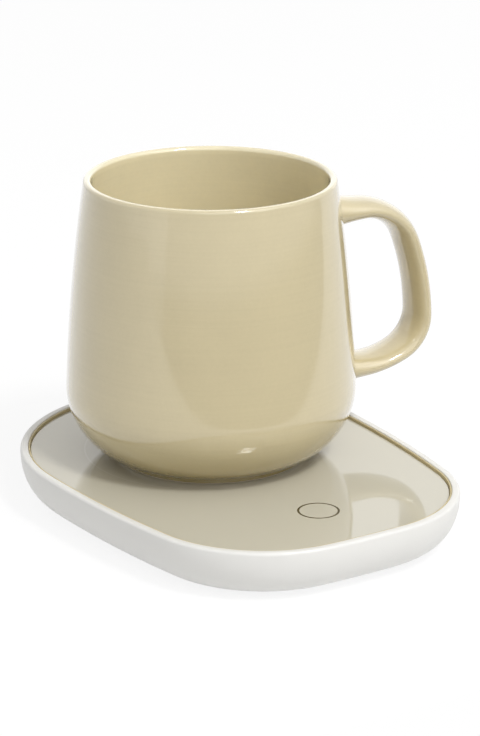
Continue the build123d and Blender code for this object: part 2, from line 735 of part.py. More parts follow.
heater_ends = [
    heater_polar(terminal_radius, terminal_angle),
    heater_polar(terminal_radius, terminal_angle + terminal_spread),
]
heater_connector_x = (heater_ends[0][0] + heater_ends[1][0]) / 2
sensor_lead_x = [(place - (sensor_lead_count - 1) / 2) * sensor_lead_pitch
                 for place in range(sensor_lead_count)]
socket_connector_y = socket_board_y - (socket_board_length - socket_connector_length) / 2
sensor_block_front_y = heater_y - sensor_block_size / 2


def connector(x, y, length, leads, pitch):
    """A board connector: a moulded box with a key slot over each lead."""
    width = (leads - 1) * pitch + 4 * lead_radius + 2 * connector_wall
    with BuildPart() as body:
        with Locations((x, y, board_top)):
            Box(width, length, connector_height, align=bottom_up)
        chamfer(body.edges().group_by(Axis.Z)[-1], 0.3 * connector_wall)
        with Locations((x, y, board_top + connector_height)):
            with GridLocations(pitch, length, leads, 1):
                Box(connector_wall, 0.6 * length, connector_wall, align=top_down,
                    mode=Mode.SUBTRACT)
    return body.part


def lead(points, radius, bend_radius):
    """One lead: a round wire on straight runs joined by arcs."""
    with BuildPart() as wire:
        with BuildLine() as route:
            if len(points) > 2:
                FilletPolyline(*points, radius=bend_radius)
            else:
                Line(*points)
        with BuildSketch(Plane(origin=route.line @ 0, z_dir=route.line % 0)):
            Circle(radius)
        sweep(path=route.line)
    return wire.part


heater_connector = connector(heater_connector_x, connector_y, connector_depth, 2,
                             heater_lead_pitch)
heater_connector.label = "heater_connector"
export_step(heater_connector, "parts/heater_connector.step")

sensor_connector = connector(0, connector_y, connector_depth, len(sensor_lead_x),
                             sensor_lead_pitch)
sensor_connector.label = "sensor_connector"
export_step(sensor_connector, "parts/sensor_connector.step")

power_connector = connector(power_connector_x, connector_y, connector_depth, 2,
                            power_lead_pitch)
power_connector.label = "power_connector"
export_step(power_connector, "parts/power_connector.step")

socket_connector = connector(0, socket_connector_y, socket_connector_length, 2,
                             power_lead_pitch)
socket_connector.label = "socket_connector"
export_step(socket_connector, "parts/socket_connector.step")

# Heater leads: down from the track's ends, then forward to their connector
with BuildPart() as heater_leads:
    for x, y in heater_ends:
        drop = track_bottom - lead_height
        add(lead([(x, y, track_bottom), (x, y, lead_height), (x, board_back_y, lead_height)],
                 lead_radius, heater_lead_bend * drop))
heater_leads.part.label = "heater_leads"
export_step(heater_leads.part, "parts/heater_leads.step")

# Sensor leads: straight forward from the sensor block, side by side
with BuildPart() as sensor_leads:
    for x in sensor_lead_x:
        add(lead([(x, sensor_block_front_y, lead_height), (x, board_back_y, lead_height)],
                 sensor_lead_radius, 0))
sensor_leads.part.label = "sensor_leads"
export_step(sensor_leads.part, "parts/sensor_leads.step")

# Power leads: from the socket round the left of the sensor block to the control board
with BuildPart() as power_leads:
    for step in (-power_lead_pitch / 2, power_lead_pitch / 2):
        socket_front_y = socket_connector_y - socket_connector_length / 2
        left_x = power_connector_x + step
        turn_y = heater_y + power_lead_turn_back
        end_y = board_back_y + power_lead_end
        add(lead([(step, socket_front_y, lead_height),
                  (step, socket_front_y - power_lead_start, lead_height),
                  (left_x, turn_y, lead_height),
                  (left_x - power_lead_bow, (turn_y + end_y) / 2, lead_height),
                  (left_x, end_y, lead_height),
                  (left_x, board_back_y, lead_height)], lead_radius, power_lead_bend))
power_leads.part.label = "power_leads"
export_step(power_leads.part, "parts/power_leads.step")

# ---------------------------------------------------------------------------------------------
# Underside: four screws through the floor into the deck frame, hidden by the rubber feet
# ---------------------------------------------------------------------------------------------

case_screws = screw_set(foot_places, screw_seat, case_screw_radius, case_screw_length,
                        case_screw_head_radius, case_screw_head_height, head_down=True)
case_screws.label = "case_screws"
export_step(case_screws, "parts/case_screws.step")

with BuildPart() as rubber_feet:
    with Locations(*[(x, y, 0) for x, y in foot_places]):
        Cylinder(radius=foot_radius, height=floor_clearance + foot_recess, align=bottom_up)
    chamfer(rubber_feet.edges().group_by(Axis.Z)[0], foot_chamfer)
rubber_feet.part.label = "rubber_feet"
export_step(rubber_feet.part, "parts/rubber_feet.step")

# ---------------------------------------------------------------------------------------------
# Mug: stands on the glass by its foot ring, and lifts off
# ---------------------------------------------------------------------------------------------

handle_x_dir = (cos(radians(mug_turn)), sin(radians(mug_turn)), 0)
handle_normal = (sin(radians(mug_turn)), -cos(radians(mug_turn)), 0)
mug_plane = Plane(origin=(mug_x, mug_y, glass_top), x_dir=handle_x_dir, z_dir=handle_normal)
mug_axis = Axis((mug_x, mug_y, 0), (0, 0, 1))
bowl_center_x = mug_belly_radius - mug_bowl_radius


def bowl_point(radius, angle):
    """A point of the bowl's section, by its distance and direction from the arc's centre."""
    return (bowl_center_x + radius * cos(radians(angle)),
            mug_bowl_radius + radius * sin(radians(angle)))


bowl_start_angle = -degrees(asin((mug_bowl_radius - mug_foot_height) / mug_bowl_radius))
bowl_start = bowl_point(mug_bowl_radius, bowl_start_angle)
bowl_end = bowl_point(mug_bowl_radius, mug_shoulder_angle)
cavity_radius = mug_bowl_radius - mug_wall
cavity_start = (bowl_center_x, mug_wall)
cavity_end = bowl_point(cavity_radius, mug_shoulder_angle)
lip_outside = (mug_rim_radius, mug_height - mug_lip / 2)
lip_inside = (mug_rim_radius - mug_lip, mug_height - mug_lip / 2)
wall_heading = (-sin(radians(mug_shoulder_angle)), cos(radians(mug_shoulder_angle)))

# Outer shape, filled: the handle's ends are cut to it as well
with BuildPart() as mug_outside:
    with BuildSketch(mug_plane):
        with BuildLine():
            Line((0, 0), (mug_foot_radius, 0))
            Line((mug_foot_radius, 0), (mug_foot_radius, mug_foot_height))
            Line((mug_foot_radius, mug_foot_height), bowl_start)
            CenterArc((bowl_center_x, mug_bowl_radius), mug_bowl_radius, bowl_start_angle,
                      mug_shoulder_angle - bowl_start_angle)
            TangentArc(bowl_end, lip_outside, tangent=wall_heading)
            Line(lip_outside, (0, mug_height - mug_lip / 2))
            Line((0, mug_height - mug_lip / 2), (0, 0))
        make_face()
    revolve(axis=mug_axis)

with BuildPart() as mug_body:
    add(mug_outside.part)
    # The lip, a full round
    with BuildSketch(mug_plane):
        with Locations(((lip_outside[0] + lip_inside[0]) / 2, lip_outside[1])):
            Circle(mug_lip / 2)
    revolve(axis=mug_axis)
    # The inside
    with BuildSketch(mug_plane):
        with BuildLine():
            Line((0, mug_wall), cavity_start)
            CenterArc((bowl_center_x, mug_bowl_radius), cavity_radius, -90,
                      90 + mug_shoulder_angle)
            TangentArc(cavity_end, lip_inside, tangent=wall_heading)
            Line(lip_inside, (0, lip_inside[1]))
            Line((0, lip_inside[1]), (0, mug_wall))
        make_face()
    revolve(axis=mug_axis, mode=Mode.SUBTRACT)
    # Unglazed foot ring
    with Locations((mug_x, mug_y, glass_top)):
        Cylinder(radius=mug_foot_radius - mug_foot_width, height=mug_foot_recess,
                 align=bottom_up, mode=Mode.SUBTRACT)
mug_body.part.label = "mug_body"
export_step(mug_body.part, "parts/mug_body.step")

# Handle: an oval strap on four tangent arcs, thicker at its roots. Its ends stop at the mug's wall
handle_radii = (handle_top_bend, handle_grip_bend, handle_low_bend, handle_root_bend)
with BuildPart() as mug_handle:
    with BuildLine(mug_plane) as handle_path:
        bend_point = (handle_shoulder_reach, handle_top)
        heading = 0.0
        Line((handle_root_reach, handle_top), bend_point)
        for radius, angle in zip(handle_radii, handle_angles):
            JernArc(start=bend_point, radius=radius, arc_size=-angle,
                    tangent=(cos(radians(heading)), sin(radians(heading))))
            turned = heading - angle
            bend_point = (
                bend_point[0] + radius * (sin(radians(heading)) - sin(radians(turned))),
                bend_point[1] - radius * (cos(radians(heading)) - cos(radians(turned))),
            )
            heading = turned
        Line(bend_point, (handle_root_reach, bend_point[1]))
    handle_line = handle_path.wires()[0]
    for place, thickness in ((0, handle_top_thickness), (handle_slim_start, handle_thickness),
                             (handle_slim_end, handle_thickness), (1, handle_low_thickness)):
        with BuildSketch(Plane(origin=handle_line @ place, x_dir=handle_normal,
                               z_dir=handle_line % place)):
            Ellipse(handle_width / 2, thickness / 2)
    sweep(path=handle_line, multisection=True)
    add(mug_outside.part, mode=Mode.SUBTRACT)
mug_handle.part.label = "mug_handle"
export_step(mug_handle.part, "parts/mug_handle.step")
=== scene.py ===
from math import acos, atan2, ceil, cos, degrees, pi, radians, sin, sqrt

import bmesh
import bpy
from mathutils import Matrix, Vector


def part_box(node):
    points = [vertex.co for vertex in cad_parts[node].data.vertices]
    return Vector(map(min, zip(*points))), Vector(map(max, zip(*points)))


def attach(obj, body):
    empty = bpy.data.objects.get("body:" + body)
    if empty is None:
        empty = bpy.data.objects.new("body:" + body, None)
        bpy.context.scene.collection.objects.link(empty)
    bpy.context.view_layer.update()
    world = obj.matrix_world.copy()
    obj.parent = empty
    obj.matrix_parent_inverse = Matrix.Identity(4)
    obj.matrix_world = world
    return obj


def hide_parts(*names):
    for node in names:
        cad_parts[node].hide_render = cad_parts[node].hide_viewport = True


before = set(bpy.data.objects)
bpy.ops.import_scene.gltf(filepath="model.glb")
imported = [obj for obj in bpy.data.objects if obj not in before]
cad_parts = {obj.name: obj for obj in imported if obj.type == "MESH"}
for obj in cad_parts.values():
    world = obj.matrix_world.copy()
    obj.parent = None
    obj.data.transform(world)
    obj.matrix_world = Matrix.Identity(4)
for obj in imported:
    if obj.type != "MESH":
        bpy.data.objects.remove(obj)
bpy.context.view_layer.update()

# ---------------------------------------------------------------------------------------------
# Housing: one white injection moulding, a shallow bowl whose wall curves in under the body.
# Its rim stands a little above the deck. The back has an oblong recess for the power plug, and
# the floor has four round recesses for the feet. The surface is finely spark-textured, satin.
# ---------------------------------------------------------------------------------------------

shell_low, shell_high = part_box("housing")
body_width = shell_high.x - shell_low.x
back_center_y = shell_high.y - body_width / 2
rim_top = shell_high.z
floor_bottom = shell_low.z
side_bow_radius = 0.370
front_bow_radius = 0.303
front_corner_radius = 0.0414
rim_band = 0.00175
undercut = 0.010
rim_wall = 0.00255
rim_outer_round = 0.0009
rim_inner_round = 0.0004
ledge_width = 0.0018
frame_thickness = 0.0018
floor_thickness = 0.002
cavity_round = 0.005
plan_spacing = 0.0013
wall_step_degrees = 5
shell_sharp_angle = 30


def arc_samples(center, radius, start, end, spacing):
    """Points and outward directions on an arc, without its last point."""
    count = max(2, ceil(abs(end - start) * radius / spacing))
    samples = []
    for i in range(count):
        angle = start + (end - start) * i / count
        out = Vector((cos(angle), sin(angle)))
        samples.append((center + radius * out, out))
    return samples


def body_plan(spacing):
    """The body's plan, counter-clockwise from the middle of its front: a bowed front, round
    corners, bowed sides and a half circle at the back."""
    side = Vector((body_width / 2 - side_bow_radius, back_center_y))
    front = Vector((0.0, shell_low.y + front_bow_radius))
    back = Vector((0.0, back_center_y))
    side_reach = side_bow_radius - front_corner_radius
    front_reach = front_bow_radius - front_corner_radius
    # The corner's centre lies at those distances from the two bows' centres
    between = front - side
    along = (side_reach ** 2 - front_reach ** 2 + between.length_squared) / (2 * between.length)
    across = sqrt(side_reach ** 2 - along ** 2)
    heading = between.normalized()
    corner = side + along * heading + across * Vector((heading.y, -heading.x))
    front_turn = atan2(corner.y - front.y, corner.x - front.x)
    side_turn = atan2(corner.y - side.y, corner.x - side.x)
    right = arc_samples(front, front_bow_radius, -pi / 2, front_turn, spacing)
    right += arc_samples(corner, front_corner_radius, front_turn, side_turn, spacing)
    right += arc_samples(side, side_bow_radius, side_turn, 0.0, spacing)
    right += arc_samples(back, body_width / 2, 0.0, pi / 2, spacing)
    left = [(Vector((-p.x, p.y)), Vector((-out.x, out.y))) for p, out in reversed(right[1:])]
    top = (Vector((0.0, back_center_y + body_width / 2)), Vector((0.0, 1.0)))
    return right + [top] + left


plan = body_plan(plan_spacing)


def plan_ring(mesh, inset, height):
    """A ring of vertices round the plan, drawn in by inset, at one height."""
    return [mesh.verts.new((p.x - inset * out.x, p.y - inset * out.y, height)) for p, out in plan]


def skin(mesh, rings, closed=False):
    """Quads between neighbouring rings; closed joins the last ring to the first."""
    pairs = list(zip(rings, rings[1:]))
    if closed:
        pairs.append((rings[-1], rings[0]))
    for low, high in pairs:
        for i in range(len(low)):
            j = (i + 1) % len(low)
            mesh.faces.new((low[i], low[j], high[j], high[i]))


def quarter(center, radius_x, radius_y, start, end, count):
    """Points on an elliptical arc in a section, both ends included."""
    points = []
    for i in range(count + 1):
        angle = radians(start + (end - start) * i / count)
        points.append((center[0] + radius_x * cos(angle), center[1] + radius_y * sin(angle)))
    return points


def shade_smooth(data, sharp_angle):
    """Smooth shading, apart from edges that turn by more than sharp_angle, in degrees."""
    data.polygons.foreach_set("use_smooth", [True] * len(data.polygons))
    data.set_sharp_from_angle(angle=radians(sharp_angle))


def finish_mesh(mesh, name, sharp_angle):
    """A smooth-shaded object from mesh data under construction."""
    bmesh.ops.recalc_face_normals(mesh, faces=mesh.faces)
    data = bpy.data.meshes.new(name)
    mesh.to_mesh(data)
    mesh.free()
    shade_smooth(data, sharp_angle)
    piece = bpy.data.objects.new(name, data)
    bpy.context.scene.collection.objects.link(piece)
    return piece


def cut(piece, cutters, sharp_angle):
    """Cuts closed pieces out of a piece and deletes them."""
    for cutter in cutters:
        boolean = piece.modifiers.new("cut", "BOOLEAN")
        boolean.operation = "DIFFERENCE"
        boolean.solver = "EXACT"
        boolean.object = cutter
    bpy.context.view_layer.update()
    graph = bpy.context.evaluated_depsgraph_get()
    data = bpy.data.meshes.new_from_object(piece.evaluated_get(graph))
    piece.modifiers.clear()
    piece.data = data
    for cutter in cutters:
        bpy.data.objects.remove(cutter)
    shade_smooth(data, sharp_angle)


curve_top = rim_top - rim_band
curve_height = curve_top - floor_bottom
deck_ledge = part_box("deck_frame")[1].z - frame_thickness
cavity_floor = floor_bottom + floor_thickness
cavity_inset = rim_wall + ledge_width
wall_section = [(undercut * (1 - cos(radians(a))), curve_top - curve_height * sin(radians(a)))
                for a in range(90, -1, -wall_step_degrees)]
wall_section += quarter((rim_outer_round, rim_top - rim_outer_round), -rim_outer_round,
                        rim_outer_round, 0, 90, count=6)
wall_section += quarter((rim_wall - rim_inner_round, rim_top - rim_inner_round), rim_inner_round,
                        rim_inner_round, 90, 0, count=5)
wall_section += [(rim_wall, deck_ledge), (cavity_inset, deck_ledge)]
wall_section += quarter((cavity_inset + cavity_round, cavity_floor + cavity_round), -cavity_round,
                        -cavity_round, 0, 90, count=8)

shell_mesh = bmesh.new()
shell_rings = [plan_ring(shell_mesh, inset, height) for inset, height in wall_section]
skin(shell_mesh, shell_rings)
shell_mesh.faces.new(shell_rings[0])
shell_mesh.faces.new(shell_rings[-1])
housing = finish_mesh(shell_mesh, "housing_shell", shell_sharp_angle)

foot_radius = 0.0055
foot_gap = 0.0002
foot_recess = 0.0008
foot_segments = 64
feet_low, feet_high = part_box("rubber_feet")
foot_y_back = feet_high.y - foot_radius
foot_y_front = feet_low.y + foot_radius
foot_x_back = 0.02986
foot_x_front = feet_high.x - foot_radius
foot_places = [(-foot_x_back, foot_y_back), (foot_x_back, foot_y_back),
               (-foot_x_front, foot_y_front), (foot_x_front, foot_y_front)]


def prism(name, outline, start, end, axis="Z"):
    """A closed prism on an outline; along Z its points are (x, y), along Y they are (x, z)."""
    mesh = bmesh.new()
    rings = []
    for level in (start, end):
        if axis == "Z":
            rings.append([mesh.verts.new((a, b, level)) for a, b in outline])
        else:
            rings.append([mesh.verts.new((a, level, b)) for a, b in outline])
    skin(mesh, rings)
    mesh.faces.new(rings[0])
    mesh.faces.new(rings[1])
    return finish_mesh(mesh, name, shell_sharp_angle)


def circle(center_x, center_y, radius, count):
    """Points round a circle."""
    turns = [2 * pi * i / count for i in range(count)]
    return [(center_x + radius * cos(turn), center_y + radius * sin(turn)) for turn in turns]


def oblong(center_z, width, height, count):
    """Points round an oblong with half-round ends, centred on the YZ plane."""
    radius = height / 2
    half = width / 2 - radius
    points = []
    for end_x, start in ((half, -pi / 2), (-half, pi / 2)):
        for i in range(count + 1):
            angle = start + pi * i / count
            points.append((end_x + radius * cos(angle), center_z + radius * sin(angle)))
    return points


socket_low, socket_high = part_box("power_socket")
socket_z = (socket_low.z + socket_high.z) / 2
socket_gap = 0.00025
plug_recess_width = 0.013
plug_recess_height = 0.0074
plug_recess_depth = 0.003
past_wall = 0.002
shell_cutters = [
    prism("foot_recess_cutter", circle(x, y, foot_radius + foot_gap, foot_segments),
          floor_bottom - past_wall, floor_bottom + foot_recess)
    for x, y in foot_places
]
shell_cutters.append(
    prism("plug_recess_cutter", oblong(socket_z, plug_recess_width, plug_recess_height, count=16),
          shell_high.y - plug_recess_depth, shell_high.y + past_wall, "Y"))
shell_cutters.append(
    prism("socket_cutter",
          oblong(socket_z, socket_high.x - socket_low.x + 2 * socket_gap,
                 socket_high.z - socket_low.z + 2 * socket_gap, count=12),
          socket_low.y, shell_high.y + past_wall, "Y"))
cut(housing, shell_cutters, shell_sharp_angle)


def effect_group(name, inputs, outputs):
    """An empty shader group with these sockets; returns it with its two end nodes."""
    group = bpy.data.node_groups.new(name, "ShaderNodeTree")
    for label, kind, value in inputs:
        socket = group.interface.new_socket(label, in_out="INPUT", socket_type=kind)
        socket.default_value = value
    for label, kind in outputs:
        group.interface.new_socket(label, in_out="OUTPUT", socket_type=kind)
    return group, group.nodes.new("NodeGroupInput"), group.nodes.new("NodeGroupOutput")


def math_node(tree, operation, first, second=None, third=None, clamp=False):
    """A math node fed with sockets or plain numbers; returns its result."""
    node = tree.nodes.new("ShaderNodeMath")
    node.operation = operation
    node.use_clamp = clamp
    for slot, value in enumerate((first, second, third)):
        if value is None:
            continue
        if isinstance(value, bpy.types.NodeSocket):
            tree.links.new(value, node.inputs[slot])
        else:
            node.inputs[slot].default_value = value
    return node.outputs[0]


def noise_node(tree, per_metre, detail, stretch=(1.0, 1.0, 1.0)):
    """A noise in the frame's own coordinates; stretch scales the three directions."""
    place = tree.nodes.new("ShaderNodeTexCoord")
    mapping = tree.nodes.new("ShaderNodeMapping")
    mapping.inputs["Scale"].default_value = stretch
    tree.links.new(place.outputs["Object"], mapping.inputs["Vector"])
    noise = tree.nodes.new("ShaderNodeTexNoise")
    tree.links.new(mapping.outputs["Vector"], noise.inputs["Vector"])
    if isinstance(per_metre, bpy.types.NodeSocket):
        tree.links.new(per_metre, noise.inputs["Scale"])
    else:
        noise.inputs["Scale"].default_value = per_metre
    noise.inputs["Detail"].default_value = detail
    return noise.outputs["Fac"]


def swing(tree, noise, amount, middle):
    """A value that swings with a noise, by amount in all, round its middle."""
    return math_node(tree, "MULTIPLY_ADD", math_node(tree, "SUBTRACT", noise, 0.5), amount, middle)


def toned(tree, color, tone):
    """A colour made lighter or darker by a factor."""
    scaled = tree.nodes.new("ShaderNodeVectorMath")
    scaled.operation = "SCALE"
    tree.links.new(color, scaled.inputs[0])
    tree.links.new(tone, scaled.inputs["Scale"])
    return scaled.outputs["Vector"]


# Fine grain of a moulded or pressed surface: a height for the bump, and a faint change of tone
# and of gloss over larger patches
grain, grain_in, grain_out = effect_group(
    "surface_grain",
    [("Grain per metre", "NodeSocketFloat", 3000.0), ("Patches per metre", "NodeSocketFloat", 30.0),
     ("Tone Change", "NodeSocketFloat", 0.03), ("Roughness", "NodeSocketFloat", 0.4),
     ("Gloss Change", "NodeSocketFloat", 0.05), ("Color", "NodeSocketColor", (1, 1, 1, 1))],
    [("Color", "NodeSocketColor"), ("Roughness", "NodeSocketFloat"), ("Height", "NodeSocketFloat")])
fine = noise_node(grain, grain_in.outputs["Grain per metre"], detail=3.0)
patches = noise_node(grain, grain_in.outputs["Patches per metre"], detail=4.0)
patch_tone = swing(grain, patches, grain_in.outputs["Tone Change"], 1.0)
gloss = swing(grain, patches, grain_in.outputs["Gloss Change"], grain_in.outputs["Roughness"])
grain.links.new(toned(grain, grain_in.outputs["Color"], patch_tone), grain_out.inputs["Color"])
grain.links.new(gloss, grain_out.inputs["Roughness"])
grain.links.new(fine, grain_out.inputs["Height"])


def place_group(tree, group, **values):
    """A group node with these input values; underscores in the names stand for spaces."""
    node = tree.nodes.new("ShaderNodeGroup")
    node.node_tree = group
    for label, value in values.items():
        node.inputs[label.replace("_", " ")].default_value = value
    return node


def add_bump(tree, height, distance, shader):
    """A bump of this height in metres on the shader."""
    bump = tree.nodes.new("ShaderNodeBump")
    bump.inputs["Strength"].default_value = 1.0
    bump.inputs["Distance"].default_value = distance
    tree.links.new(height, bump.inputs["Height"])
    tree.links.new(bump.outputs["Normal"], shader.inputs["Normal"])


def new_finish(name):
    """A new material, with its node tree and its shader."""
    finish = bpy.data.materials.new(name)
    finish.use_nodes = True
    return finish, finish.node_tree, finish.node_tree.nodes["Principled BSDF"]


def grained_finish(name, color, roughness, grain_per_metre, grain_height, tone_change=0.04,
                   gloss_change=0.08, patches_per_metre=30.0, metallic=0.0):
    """A finish with a fine grain, its height in metres: plastic, rubber, pressed metal or felt."""
    finish, tree, shader = new_finish(name)
    shader.inputs["Metallic"].default_value = metallic
    effect = place_group(tree, grain, Grain_per_metre=grain_per_metre,
                         Patches_per_metre=patches_per_metre, Tone_Change=tone_change,
                         Roughness=roughness, Gloss_Change=gloss_change, Color=(*color, 1.0))
    tree.links.new(effect.outputs["Color"], shader.inputs["Base Color"])
    tree.links.new(effect.outputs["Roughness"], shader.inputs["Roughness"])
    add_bump(tree, effect.outputs["Height"], grain_height, shader)
    return finish


shell_white = grained_finish("shell_white", (0.785, 0.777, 0.747), roughness=0.34,
                             grain_per_metre=2600.0, grain_height=0.00001, tone_change=0.02)
housing.data.materials.append(shell_white)
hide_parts("housing")
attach(housing, "warmer")

# ---------------------------------------------------------------------------------------------
# Inside of the housing: boards, heater stack, sensors, leads, frame and screws. They are closed
# in, so the solids stay as they are, each in the finish of its real material.
# ---------------------------------------------------------------------------------------------


def dress(node, finish):
    """Puts a finish on a solid of the frame."""
    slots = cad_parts[node].data.materials
    if len(slots):
        slots[0] = finish
    else:
        slots.append(finish)


# Each has its colour, its roughness, its grains per metre and the height of its grain
moulded_grey = grained_finish("frame_grey", (0.09, 0.09, 0.09), 0.5, 2200.0, 0.00001)
silicone_grey = grained_finish("pad_grey", (0.17, 0.19, 0.21), 0.6, 1200.0, 0.00002)
mica = grained_finish("sheet_mica", (0.34, 0.26, 0.15), 0.35, 500.0, 0.00001, tone_change=0.25,
                      patches_per_metre=160.0)
felt = grained_finish("insulation_felt", (0.75, 0.71, 0.60), 0.95, 900.0, 0.0002, tone_change=0.1)
white_silicone = grained_finish("sensor_silicone", (0.60, 0.60, 0.57), 0.55, 1400.0, 0.00001)
black_epoxy = grained_finish("sensor_body", (0.02, 0.02, 0.022), 0.2, 600.0, 0.00002)
clear_tube = grained_finish("tube_clear", (0.78, 0.80, 0.82), 0.12, 800.0, 0.000002)
lens = grained_finish("indicator_lens", (0.85, 0.79, 0.57), 0.3, 1500.0, 0.000005)
chip_black = grained_finish("chip_black", (0.012, 0.012, 0.012), 0.55, 3000.0, 0.000008)
nylon = grained_finish("connector_white", (0.78, 0.76, 0.69), 0.45, 1800.0, 0.000006)
sleeve_white = grained_finish("lead_white", (0.71, 0.71, 0.68), 0.45, 1000.0, 0.00001)
sleeve_black = grained_finish("lead_black", (0.012, 0.012, 0.012), 0.45, 1000.0, 0.00001)
sleeve_red = grained_finish("lead_red", (0.32, 0.012, 0.008), 0.45, 1000.0, 0.00001)
aluminium = grained_finish("plate_aluminium", (0.70, 0.71, 0.73), 0.32, 1500.0, 0.000006,
                           metallic=1.0)
foil = grained_finish("track_foil", (0.50, 0.48, 0.44), 0.3, 1200.0, 0.000004, metallic=1.0)
pressed_steel = grained_finish("shield_steel", (0.56, 0.57, 0.58), 0.36, 900.0, 0.000008,
                               metallic=1.0)
zinc = grained_finish("screw_steel", (0.50, 0.51, 0.53), 0.3, 1800.0, 0.000006, metallic=1.0,
                      tone_change=0.1)
tinned = grained_finish("fuse_metal", (0.58, 0.55, 0.48), 0.28, 1200.0, 0.000005, metallic=1.0)
spring_wire = grained_finish("spring_steel", (0.55, 0.55, 0.55), 0.25, 2000.0, 0.000003,
                             metallic=1.0)
drawn_can = grained_finish("capacitor_can", (0.62, 0.63, 0.65), 0.3, 900.0, 0.000005,
                           metallic=1.0)
plated = grained_finish("socket_metal", (0.62, 0.62, 0.61), 0.24, 900.0, 0.000004, metallic=1.0)

# Boards: green solder mask over copper tracks, which show as a slightly lighter pattern
board_green, board_tree, board_shader = new_finish("board_green")
copper_relief = 0.00003
board_shader.inputs["Roughness"].default_value = 0.3
tracks = board_tree.nodes.new("ShaderNodeTexBrick")
tracks.inputs["Scale"].default_value = 260.0
tracks.inputs["Mortar Size"].default_value = 0.012
tracks.inputs["Color1"].default_value = (0.006, 0.060, 0.020, 1)
tracks.inputs["Color2"].default_value = (0.010, 0.075, 0.026, 1)
tracks.inputs["Mortar"].default_value = (0.030, 0.140, 0.055, 1)
board_place = board_tree.nodes.new("ShaderNodeTexCoord")
board_tree.links.new(board_place.outputs["Object"], tracks.inputs["Vector"])
board_tree.links.new(tracks.outputs["Color"], board_shader.inputs["Base Color"])
add_bump(board_tree, tracks.outputs["Fac"], copper_relief, board_shader)

inside = {
    "deck_frame": moulded_grey, "thermal_pad": silicone_grey, "heating_plate": aluminium,
    "heater_sheet": mica, "heater_track": foil, "insulation_pad": felt,
    "heat_shield": pressed_steel, "shield_screws": zinc, "sensor_block": white_silicone,
    "thermistor": black_epoxy, "thermal_fuse": tinned, "control_board": board_green,
    "board_screws": zinc, "touch_spring": spring_wire, "key_light_tube": clear_tube,
    "key_indicator": lens, "controller_chip": chip_black, "power_transistor": chip_black,
    "filter_capacitor": drawn_can, "socket_board": board_green, "socket_screws": zinc,
    "power_socket": plated, "heater_connector": nylon, "sensor_connector": nylon,
    "power_connector": nylon, "socket_connector": nylon, "heater_leads": sleeve_white,
    "sensor_leads": sleeve_black, "power_leads": sleeve_red, "case_screws": zinc,
}
for node, finish in inside.items():
    dress(node, finish)

# ---------------------------------------------------------------------------------------------
# Gasket: a moulded olive-brown silicone ring, L-shaped in section. Its flange lies under the
# glass and its lip fills the gap between the glass and the rim.
# ---------------------------------------------------------------------------------------------

gasket_low, gasket_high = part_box("deck_gasket")
seat_gap = 0.00005
gasket_lip = 0.00055
gasket_flange = 0.005
gasket_round = 0.0002
glass_low, glass_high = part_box("glass_deck")
lip_outer = rim_wall + seat_gap
lip_inner = lip_outer + gasket_lip
gasket_section = [(lip_outer, gasket_low.z)]
gasket_section += quarter((lip_outer + gasket_round, gasket_high.z - gasket_round), -gasket_round,
                          gasket_round, 0, 90, count=3)
gasket_section += quarter((lip_inner - gasket_round, gasket_high.z - gasket_round), gasket_round,
                          gasket_round, 90, 0, count=3)
gasket_section += [(lip_inner, glass_low.z), (lip_inner + gasket_flange, glass_low.z),
                   (lip_inner + gasket_flange, gasket_low.z)]
gasket_mesh = bmesh.new()
gasket_rings = [plan_ring(gasket_mesh, inset, height) for inset, height in gasket_section]
skin(gasket_mesh, gasket_rings, closed=True)
gasket = finish_mesh(gasket_mesh, "gasket_ring", sharp_angle=50)
gasket_olive = grained_finish("gasket_olive", (0.60, 0.51, 0.30), roughness=0.55,
                              grain_per_metre=1500.0, grain_height=0.000015, tone_change=0.06)
gasket.data.materials.append(gasket_olive)
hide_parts("deck_gasket")
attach(gasket, "warmer")

# ---------------------------------------------------------------------------------------------
# Deck: a plate of clear float glass, printed pale greige on its underside. The same print has
# a dark ring for the touch key and a thin pale ring round the heated zone. Its top edge is
# ground to a small chamfer, and its surface is polished.
# ---------------------------------------------------------------------------------------------

glass_inset = rim_wall + gasket_lip + 2 * seat_gap
glass_chamfer = 0.0003
glass_mesh = bmesh.new()
glass_rings = [
    plan_ring(glass_mesh, glass_inset, glass_low.z),
    plan_ring(glass_mesh, glass_inset, glass_high.z - glass_chamfer),
    plan_ring(glass_mesh, glass_inset + glass_chamfer, glass_high.z),
]
skin(glass_mesh, glass_rings)
glass_mesh.faces.new(glass_rings[0])
glass_mesh.faces.new(glass_rings[-1])
deck = finish_mesh(glass_mesh, "deck_glass_plate", sharp_angle=30)

plate_low, plate_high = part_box("heating_plate")
tube_low, tube_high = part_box("key_light_tube")
zone_x = (plate_low.x + plate_high.x) / 2
zone_y = (plate_low.y + plate_high.y) / 2
zone_radius = 0.0383
zone_line = 0.00045
key_x = (tube_low.x + tube_high.x) / 2
key_y = (tube_low.y + tube_high.y) / 2
key_radius = 0.0062
key_line = 0.0007
line_softness = 0.00008
greige_print = (0.556, 0.528, 0.434)
zone_print = (0.66, 0.64, 0.58)
zone_print_cover = 0.42
key_print = (0.075, 0.062, 0.030)


def place_xyz(tree, system="Object"):
    """The X, Y and Z of each place in the frame, or of each direction in a world."""
    place = tree.nodes.new("ShaderNodeTexCoord")
    parts = tree.nodes.new("ShaderNodeSeparateXYZ")
    tree.links.new(place.outputs[system], parts.inputs["Vector"])
    return parts.outputs


